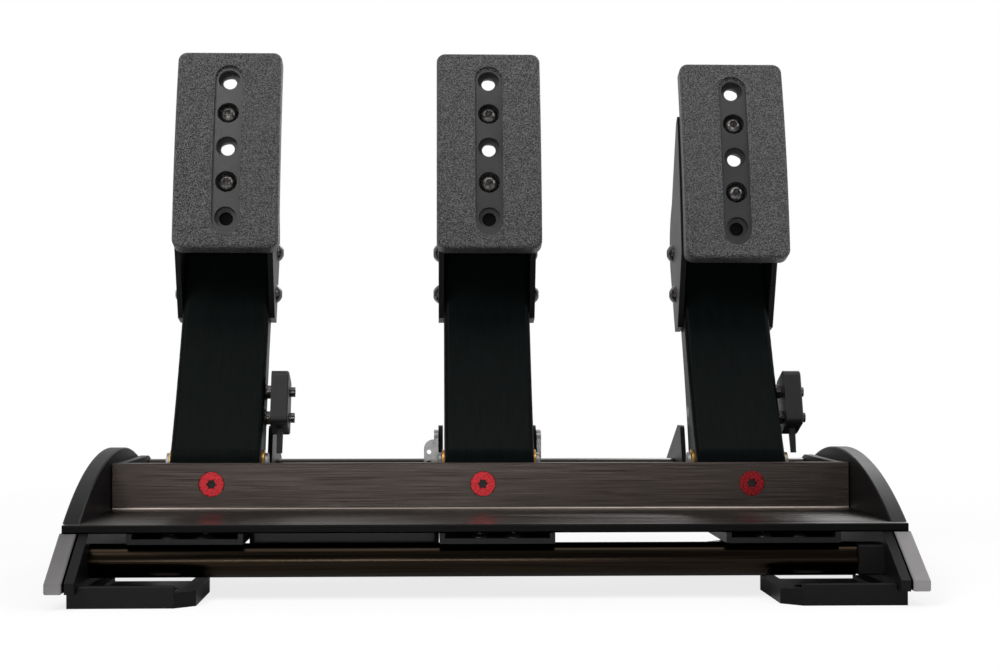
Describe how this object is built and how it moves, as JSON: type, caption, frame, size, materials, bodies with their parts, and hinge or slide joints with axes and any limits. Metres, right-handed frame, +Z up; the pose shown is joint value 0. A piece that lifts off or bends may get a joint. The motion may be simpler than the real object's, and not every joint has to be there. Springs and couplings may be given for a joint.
{
  "type": "sim racing pedal set",
  "caption": "Clutch, brake and throttle pedals on a domed-side base with a heel plate; pressed pedals work against springs and a rubber stack.",
  "frame": {"origin": "on the floor, midway along and across the base, in the plane of the heel plate's upright face", "axes": "+X to the driver's right, +Y away from the driver, +Z up"},
  "size_m": [0.4, 0.264, 0.2849],
  "materials": {
    "plate_black": "satin black anodised",
    "brushed_black_plate": "brushed black anodised",
    "red_screw": "red anodised",
    "dark_screw": "blackened steel",
    "pad_plastic": "fine grain",
    "arm_lacquer": "semi-gloss black",
    "bracket_lacquer": "satin black",
    "bush_brass": "turned",
    "bumper_rubber": "moulded",
    "spring_steel": "drawn wire",
    "case_plastic": "moulded",
    "bright_steel": "zinc plated",
    "tube_black": "satin black anodised",
    "foot_black": "satin black"
  },
  "bodies": {
    "base": {"left_cheek": "plate_black", "right_cheek": "plate_black", "left_inner_plate": "plate_black", "right_inner_plate": "plate_black", "front_tube": "tube_black", "rear_tube": "tube_black", "front_tube_clamp": "plate_black", "left_front_foot": "foot_black", "left_rear_foot": "foot_black", "right_front_foot": "foot_black", "right_rear_foot": "foot_black", "heel_plate": "brushed_black_plate", "heel_plate_screws": "red_screw", "heel_bar": "plate_black", "base_screws": "dark_screw", "control_box": "case_plastic", "channel_screws": "dark_screw", "clutch_base_channel": "bracket_lacquer", "clutch_pivot_bracket": "bracket_lacquer", "clutch_pivot_pin": "bright_steel", "clutch_spring_seat": "plate_black", "clutch_spring": "spring_steel", "brake_base_channel": "bracket_lacquer", "brake_pivot_bracket": "bracket_lacquer", "brake_pivot_pin": "bright_steel", "brake_spring_seat": "plate_black", "brake_load_cell": "bright_steel", "brake_yoke": "bright_steel", "brake_bumper": "bumper_rubber", "throttle_base_channel": "bracket_lacquer", "throttle_pivot_bracket": "bracket_lacquer", "throttle_pivot_pin": "bright_steel", "throttle_spring_seat": "plate_black", "throttle_spring": "spring_steel"},
    "clutch_pedal": {"clutch_pivot_bushes": "bush_brass", "clutch_arm": "arm_lacquer", "clutch_pad_bracket": "bracket_lacquer", "clutch_pad": "pad_plastic", "clutch_pad_screws": "dark_screw", "clutch_side_screws": "dark_screw", "clutch_strut_pin": "bright_steel", "clutch_sensor_housing": "case_plastic"},
    "clutch_strut": {"clutch_plunger": "bright_steel"},
    "brake_pedal": {"brake_pivot_bushes": "bush_brass", "brake_arm": "arm_lacquer", "brake_pad_bracket": "bracket_lacquer", "brake_pad": "pad_plastic", "brake_pad_screws": "dark_screw", "brake_side_screws": "dark_screw", "brake_strut_pin": "bright_steel"},
    "brake_strut": {"brake_plunger": "bright_steel"},
    "throttle_pedal": {"throttle_pivot_bushes": "bush_brass", "throttle_arm": "arm_lacquer", "throttle_pad_bracket": "bracket_lacquer", "throttle_pad": "pad_plastic", "throttle_pad_screws": "dark_screw", "throttle_side_screws": "dark_screw", "throttle_strut_pin": "bright_steel", "throttle_sensor_housing": "case_plastic"},
    "throttle_strut": {"throttle_plunger": "bright_steel"}
  },
  "joints": [
    {"name": "clutch_pedal_hinge", "type": "hinge", "parent": "base", "child": "clutch_pedal", "pos_m": [-0.1415, 0.04, 0.056], "axis": [-1, 0, 0], "range_deg": [0, 18], "stiffness_Nm_per_rad": 40, "springref_deg": -3.44, "deforming": ["clutch_spring"]},
    {"name": "clutch_strut_hinge", "type": "hinge", "parent": "clutch_pedal", "child": "clutch_strut", "pos_m": [-0.1415, 0.0597, 0.08383], "axis": [-1, 0, 0], "range_deg": [-18, 0]},
    {"name": "brake_pedal_hinge", "type": "hinge", "parent": "base", "child": "brake_pedal", "pos_m": [0.0042, 0.04, 0.056], "axis": [-1, 0, 0], "range_deg": [0, 7], "stiffness_Nm_per_rad": 220, "springref_deg": -1.15, "deforming": ["brake_bumper"]},
    {"name": "brake_strut_hinge", "type": "hinge", "parent": "brake_pedal", "child": "brake_strut", "pos_m": [0.0042, 0.0597, 0.08383], "axis": [-1, 0, 0], "range_deg": [-7, 0]},
    {"name": "throttle_pedal_hinge", "type": "hinge", "parent": "base", "child": "throttle_pedal", "pos_m": [0.139, 0.04, 0.056], "axis": [-1, 0, 0], "range_deg": [0, 16], "stiffness_Nm_per_rad": 30, "springref_deg": -3.44, "deforming": ["throttle_spring"]},
    {"name": "throttle_strut_hinge", "type": "hinge", "parent": "throttle_pedal", "child": "throttle_strut", "pos_m": [0.139, 0.0597, 0.08383], "axis": [-1, 0, 0], "range_deg": [-16, 0]}
  ],
  "couplings": [
    {"joint": "clutch_strut_hinge", "follows": "clutch_pedal_hinge", "ratio": -1},
    {"joint": "brake_strut_hinge", "follows": "brake_pedal_hinge", "ratio": -1},
    {"joint": "throttle_strut_hinge", "follows": "throttle_pedal_hinge", "ratio": -1}
  ]
}
